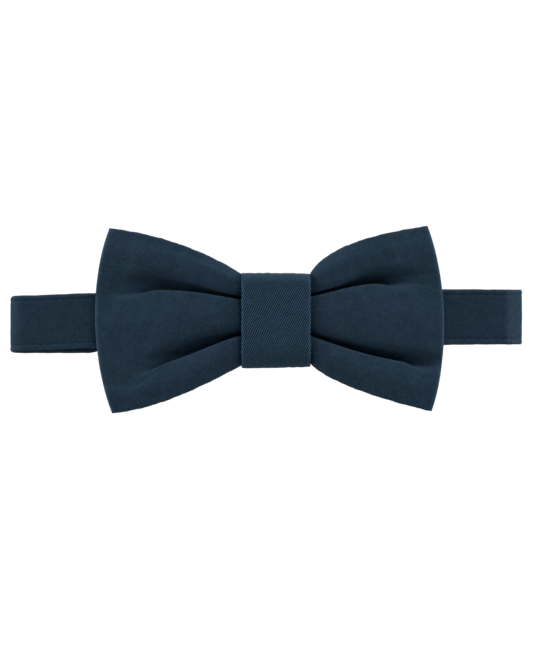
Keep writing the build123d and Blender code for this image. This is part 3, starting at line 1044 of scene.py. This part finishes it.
def valley_course(valley, x, out, bow):
    """A valley's height, half-width, tuck, opening and depth at places x of a wing.

    out is x moved on by the wing's bulge, where its line is read.
    """
    line = bezier(valley["line"], np.linspace(0, 1, 200))
    height = np.interp(out, line[:, 0], line[:, 1])
    narrow, wide = valley["width"]
    half = narrow + (wide - narrow) * ease(x, *valley["widen"])
    crisp = 1 - ease(x, *valley["crisp"])
    tuck = bow.tuck / MM * crisp * ease(x, 8, 12)
    opening = 2.4 * (1 - crisp)
    stay = valley["stay"]
    depth = bow.pleat_depth / MM * (stay + (1 - stay) * (1 - ease(x, *valley["fade"])))
    depth = depth * (0.45 + 0.55 * ease(x, 9.5, 14.5))
    return height, half, tuck, opening, depth


def wing_sections(wing, bow):
    """Control polygons of a wing's front and back, one pair for each place out from the knot.

    Each point is (height, distance in front), in millimetres. Also the wing's edges.
    """
    head, foot, share = wing_edges(wing)
    x = (head[:, 0] + foot[:, 0]) / 2
    bulge = 3.6 * share
    upper = valley_course(wing["upper"], x, x + bulge, bow)
    lower = valley_course(wing["lower"], x, x + bulge, bow)
    (v1, e1, _, open1, _), (v2, e2, _, open2, _) = upper, lower
    ridge = bow.ridge / MM
    reach = (x - KNOT_SIDE) / (x.max() - KNOT_SIDE)
    front = np.interp(reach, [-1, -0.01, 0.01, 0.03, 0.06, 0.14, 0.35, 0.6, 0.85, 1.0],
                      [ridge - 1.8, ridge - 2.3, ridge - 1.8, ridge - 0.9, ridge - 0.3,
                       ridge + 0.1, ridge - 0.1, ridge - 1.1, ridge - 2.3, ridge - 2.8])
    roll = 0.5 + 2.0 * (1 - ease(x, KNOT_SIDE, 34))
    thick = bow.thickness / MM
    near = front - roll - thick / 2
    swell = 0.35 + 0.25 * ease(x, KNOT_SIDE, 20)
    top, bottom = head[:, 1], foot[:, 1]
    h1, h2, h3 = top - v1, v1 - v2, v2 - bottom

    def through(course, below, behind):
        """Points down through a valley; below is the height of the fold under it."""
        v, e, t, gap, d = course
        tuck = (1 - behind) * t
        bed = 0.98 + 0.04 * (1 - behind)
        floor = 1.0 + 0.05 * (1 - behind)
        return [
            (v + 1.45 * e + 0.5, front + 0.03 * d, behind),
            (v + 1.02 * e + 0.1, front - 0.1 * d, behind),
            (v + 0.8 * e, front - 0.46 * d, behind),
            (v + 0.56 * e, front - 0.85 * d, behind * 0.7),
            (v + 0.28 * e, front - 0.96 * d, behind * 0.6),
            (v - 0.1 - 0.5 * tuck, front - bed * d, behind * 0.6),
            (v - 0.35 - tuck - 0.2 * gap, front - floor * d, behind * 0.6),
            (v - 0.45 - 0.9 * tuck - 0.5 * gap, front - 0.74 * d, behind * 0.7),
            (v - 0.1 + 0.1 * tuck - gap, front - 0.3 * d, behind),
            (v - 0.5 - 1.4 * gap, front - 0.1 * d, behind),
            (v - 0.9 - 0.08 * below - 1.4 * gap, front - 0.02 * d, behind),
        ]

    def polygon(behind):
        """Points down a section, from its head to its foot; behind is 0 in front, 1 at the back."""
        line = [
            (top, near, 0.0),
            (top, near + 0.45 * thick, behind * 0.9),
            (top - 0.8, near + 0.5 * thick + 0.25 * roll, behind),
            (top - 0.14 * h1 - 0.8, front - 0.25 * roll, behind),
            (top - 0.36 * h1 + 0.1 * e1, front + swell, behind),
            *through(upper, h2, behind),
            (v1 - 0.3 * h2 - 0.7 * open1, front + 0.7 * swell, behind),
            ((v1 + v2 + 1.7 * e2) / 2 - 0.1 * h2, front + swell, behind),
            *through(lower, h3, behind),
            (v2 - 0.32 * h3 - 0.6 * open2, front + 0.6 * swell, behind),
            (bottom + 0.42 * h3, front + swell * 0.8, behind),
            (bottom + 0.15 * h3 + 0.8, front - 0.25 * roll, behind),
            (bottom + 0.8, near + 0.5 * thick + 0.25 * roll, behind),
            (bottom, near + 0.45 * thick, behind * 0.9),
            (bottom, near, 0.0),
        ]
        height = np.stack([point[0] for point in line], axis=1)
        ahead = np.stack([point[1] - thick * point[2] for point in line], axis=1)
        return np.stack([height, ahead], axis=-1)

    return polygon(0.0), polygon(1.0), head, foot, share


def wing_piece(name, wing, bow, rib_angle):
    """One wing: a gathered tube of interlined cloth with rolled edges. Made in millimetres."""
    face, back, head, foot, share = wing_sections(wing, bow)
    face, back = (spline_through_polygon(side, per_span=6) for side in (face, back))
    outer = bezier(wing["outer"], np.linspace(0, 1, 300))

    def placed(section):
        height, ahead = section[..., 0], section[..., 1]
        part = np.clip((height - foot[:, 1:]) / (head[:, 1:] - foot[:, 1:]), 0, 1)
        across = foot[:, :1] + part * (head[:, :1] - foot[:, :1])
        last = foot[-1, 0] + part * (head[-1, 0] - foot[-1, 0])
        rim = np.interp(foot[-1, 1] + part * (head[-1, 1] - foot[-1, 1]), outer[:, 1], outer[:, 0])
        across = across + share[:, None] ** 1.5 * (rim - last)
        return across, height, ahead

    across, height, ahead = placed(face)
    across_b, height_b, ahead_b = placed(back)
    side = wing["side"]
    dents = 0.16 * uneven(across * 0.9 + 0.35 * height, 15.0, 0.3 if side < 0 else 1.9)
    dents = dents + 0.10 * uneven(height - 0.3 * across, 8.5, 2.2 + side)
    dents = dents * ease(across, 11, 18)
    ahead, ahead_b = ahead + dents, ahead_b + dents
    edge = np.abs(across[-1:] - across)
    first = 0.3             # the innermost station
    # both ends are rounded over the last millimetre
    outer_end = np.sqrt(1 - (1 - np.minimum(edge, 1)) ** 2)
    inner_end = np.sqrt(1 - (1 - np.clip(across - first, 0, 1)) ** 2)
    keep = outer_end * inner_end
    middle = (ahead + ahead_b) / 2
    ahead, ahead_b = middle + (ahead - middle) * keep, middle + (ahead_b - middle) * keep
    rows, columns = across.shape
    front_points = np.stack([side * across, -ahead, height], axis=-1) * MM
    back_points = np.stack([side * across_b, -ahead_b, height_b], axis=-1) * MM
    index = np.arange(rows * columns).reshape(rows, columns)
    behind = index + rows * columns
    behind[0], behind[-1] = index[0], index[-1]
    behind[:, 0], behind[:, -1] = index[:, 0], index[:, -1]
    points = np.concatenate([front_points.reshape(-1, 3), back_points.reshape(-1, 3)])
    faces = np.concatenate([cell_faces(index), cell_faces(behind)])
    flat = np.stack([front_points[..., 0], front_points[..., 2]], axis=-1)
    uv = np.tile(corner_map(turned_map(flat, rib_angle)), (2, 1))
    long_edge = np.minimum(head[:, 1:] - height, height - foot[:, 1:])
    # a painted highlight along the outer edge, half as strong along the top and low edges
    rim_highlight_share = np.minimum(np.exp(-(edge / 1.1) ** 2) + 0.5 * np.exp(-(long_edge / 0.5) ** 2), 1)
    rim_highlight_share = np.tile(rim_highlight_share.ravel(), 2)
    nap = 0.78 * ease(edge, 1.5, 8.0) * ease(height - foot[:, 1:], 2.0, 14.0)
    nap = np.tile(nap.ravel(), 2)
    used = np.unique(faces)
    renumber = np.full(len(points), -1)
    renumber[used] = np.arange(len(used))
    return mesh_piece(name, points[used], renumber[faces], uv, rim_highlight_share[used],
                      nap[used])


class MakeWings(Operator):
    """Make the bow's two pleated wings and the thread that binds its waist"""
    bl_idname = "bow_tie.make_wings"
    bl_label = "Wings"

    def execute(self, context):
        scene = context.scene
        for side, wing in WINGS.items():
            piece = wing_piece(side + "_wing_cloth", wing, scene.tie_bow, scene.tie_cloth.bow_turn)
            piece.data.materials.append(material("bow_finish"))
            nodes = [side + "_wing_back_cloth"]
            if side == "left":
                nodes += ["bow_front_cloth", "bow_interlining"]
            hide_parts(*nodes)
            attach(piece, "bow")
        binding = frame["nodes"]["waist_binding_thread"]
        binding.data.materials.clear()
        binding.data.materials.append(material("thread_finish"))
        return {"FINISHED"}


class MakeKnot(Operator):
    """Make the knot: a folded strip wrapped round the bow's waist and the band"""
    bl_idname = "bow_tie.make_knot"
    bl_label = "Knot"

    def execute(self, context):
        knot, cloth = context.scene.tie_knot, context.scene.tie_cloth
        wall = knot.wall
        front, back = KNOT_LOW[1] + wall / 2, KNOT_HIGH[1] - wall / 2
        low, high = KNOT_LOW[2] + wall / 2, KNOT_HIGH[2] - wall / 2
        r = knot.front_round
        back_round = 1.0 * MM
        seam_gap = 0.24 * MM
        # the height of each front corner's rounding, as a share of its depth
        upper, lower = 0.7, 2.4
        loop = [(back, seam_gap / 2)]
        loop += arc((back - back_round, high - back_round), back_round, 0, 90, 10)
        for share, start, middle in ((upper, 90, high - upper * r), (lower, 180, low + lower * r)):
            loop += [(y, middle + (z - middle) * share)
                     for y, z in arc((front + r, middle), r, start, start + 90, 24)]
        loop += arc((back - back_round, low + back_round), back_round, 270, 360, 10)
        loop += [(back, -seam_gap / 2)]
        wide = float(KNOT_HIGH[0] - KNOT_LOW[0]) - knot.narrower
        piece = strap("knot_cloth", loop, plane="yz", width=wide,
                      thickness=wall, rib_angle=cloth.knot_turn, slot="knot_twill",
                      ripple=0.09 * MM, step=0.5 * MM, swell=0.12 * MM, wander=0.10 * MM)
        side, top = float(KNOT_HIGH[0]), float(KNOT_HIGH[2])
        for vertex in piece.data.vertices:
            x, z = vertex.co.x / side, vertex.co.z / top
            fray = 0.09 * MM * float(uneven(vertex.co.x, 3.1 * MM, z)) * abs(z) ** 6
            vertex.co.z += fray - knot.squint * (x + 0.6) * z * (1.0 if z > 0 else 1.4)
        heights = np.array([abs(v.co.z) for v in piece.data.vertices])
        nap = 0.85 * ease(heights, top - 5 * MM, top - 3.4 * MM)
        napped = piece.data.attributes.new("napped", "FLOAT", "POINT")
        napped.data.foreach_set("value", np.float32(nap))
        piece.data.materials.append(material("knot_finish"))
        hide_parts("knot_wrap", "knot_interlining")
        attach(piece, "bow")
        return {"FINISHED"}


class MakeClasp(Operator):
    """Finish the hook, the eye and the slider in plated metal with eased edges"""
    bl_idname = "bow_tie.make_clasp"
    bl_label = "Clasp and slider"

    def execute(self, context):
        metal = context.scene.tie_metal
        for node in ("hook", "eye", "slider"):
            mesh = frame["nodes"][node].data.copy()
            shell = bmesh.new()
            shell.from_mesh(mesh)
            bmesh.ops.remove_doubles(shell, verts=shell.verts, dist=1e-6)
            bmesh.ops.dissolve_limit(shell, angle_limit=math.radians(2), verts=shell.verts,
                                     edges=shell.edges)
            shell.to_mesh(mesh)
            shell.free()
            piece = linked(node + "_plated", mesh)
            bevel = piece.modifiers.new("eased edges", "BEVEL")
            bevel.width = metal.edge_round
            bevel.segments = 2
            bevel.limit_method = "ANGLE"
            bevel.angle_limit = math.radians(35)
            eased = applied(piece)
            piece.modifiers.clear()
            piece.data = eased
            eased.polygons.foreach_set("use_smooth", [True] * len(eased.polygons))
            eased.set_sharp_from_angle(angle=math.radians(40))
            eased.materials.clear()
            eased.materials.append(material("nickel_finish"))
            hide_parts(node)
            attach(piece, node)
        return {"FINISHED"}


# ---------------------------------------------------------------- stage

# each light's place in metres, its width and height in metres, and its power in watts
LIGHTS = {
    "key light": ((0.12, -0.40, 0.78), (0.34, 0.34), 7.4),
    "left light": ((-0.8, -0.08, 0.2), (0.3, 0.6), 7.0),
    "right light": ((0.8, -0.02, 0.2), (0.3, 0.6), 6.0),
    "back light": ((0.1, 0.6, 0.55), (0.5, 0.5), 2.4),
}
FLOOR_SIDES = 96            # of the round floor
SENSOR_WIDTH = 36.0         # of the camera, in millimetres


def area_light(name, place, size, power):
    """A soft light that looks at the bow."""
    data = bpy.data.lights.new(name, "AREA")
    data.shape = "RECTANGLE"
    data.size, data.size_y = size
    data.energy = power
    light = linked(name, data)
    light.location = place
    light.rotation_euler = (-Vector(place)).to_track_quat("-Z", "Y").to_euler()


def background(nodes, colour, strength):
    """A background of even light."""
    made = nodes.new("ShaderNodeBackground")
    made.inputs["Color"].default_value = (*colour, 1)
    made.inputs["Strength"].default_value = strength
    return made


class MakeStage(Operator):
    """Set up the floor, the lights, the white surroundings and the camera"""
    bl_idname = "bow_tie.make_stage"
    bl_label = "Stage"

    def execute(self, context):
        scene, stage = context.scene, context.scene.tie_stage
        pale = Finish("pale_floor")
        speck = pale.noise(30.0, 3.0)
        base = pale.shade((0.6, 0.6, 0.6, 1), speck * 0.04 + 0.98)
        floor_finish = pale.surface({"Base Color": base, "Roughness": 0.9})
        ring = [(math.cos(a), math.sin(a), -stage.floor_drop)
                for a in np.linspace(0, 2 * math.pi, FLOOR_SIDES, endpoint=False)]
        mesh = bpy.data.meshes.new("floor")
        mesh.from_pydata(ring, [], [tuple(range(FLOOR_SIDES))])
        mesh.materials.append(floor_finish)
        floor = linked("floor", mesh)

        world = bpy.data.worlds.new("white surroundings")
        scene.world = world
        world.use_nodes = True
        nodes, links = world.node_tree.nodes, world.node_tree.links
        nodes.clear()
        # the camera sees white, and the bow is lit by a fainter light with less blue in it
        seen = background(nodes, (1, 1, 1), 1.05)
        lit = background(nodes, (0.95, 1, 0.88), 0.10)
        path, mix = nodes.new("ShaderNodeLightPath"), nodes.new("ShaderNodeMixShader")
        out = nodes.new("ShaderNodeOutputWorld")
        links.new(path.outputs["Is Camera Ray"], mix.inputs[0])
        links.new(lit.outputs[0], mix.inputs[1])
        links.new(seen.outputs[0], mix.inputs[2])
        links.new(mix.outputs[0], out.inputs["Surface"])
        scene.view_settings.view_transform = "Standard"

        for name, (place, size, power) in LIGHTS.items():
            area_light(name, place, size, power)

        camera = bpy.data.cameras.new("camera")
        camera.sensor_width = SENSOR_WIDTH
        camera.lens = SENSOR_WIDTH * stage.camera_away / stage.view_height
        camera.clip_start, camera.clip_end = 0.05, 20
        holder = linked("camera", camera)
        bow_front_y = -5 * MM
        holder.location = (stage.view_left, bow_front_y - stage.camera_away, stage.view_down)
        holder.rotation_euler = (math.radians(90), 0, 0)
        scene.camera = holder
        return {"FINISHED"}


class TiePanel(Panel):
    """The steps that make the bow tie"""
    bl_idname = "VIEW3D_PT_bow_tie"
    bl_label = "Bow tie"
    bl_space_type = "VIEW_3D"
    bl_region_type = "UI"
    bl_category = "Bow tie"

    def draw(self, context):
        for step in STEPS:
            self.layout.operator(step.bl_idname)
        for name, group in SETTINGS.items():
            box = self.layout.box()
            for setting in group.__annotations__:
                box.prop(getattr(context.scene, name), setting)


STEPS = (MakeFinishes, MakeBand, MakeTopstitching, MakeWings, MakeKnot, MakeClasp, MakeStage)


def register():
    for name, group in SETTINGS.items():
        bpy.utils.register_class(group)
        setattr(bpy.types.Scene, name, PointerProperty(type=group))
    for step in STEPS + (TiePanel,):
        bpy.utils.register_class(step)


def unregister():
    for step in reversed(STEPS + (TiePanel,)):
        bpy.utils.unregister_class(step)
    for name, group in SETTINGS.items():
        delattr(bpy.types.Scene, name)
        bpy.utils.unregister_class(group)


def main():
    register()
    for step in STEPS:
        group, name = step.bl_idname.split(".")
        getattr(getattr(bpy.ops, group), name)()


if __name__ == "__main__":
    main()
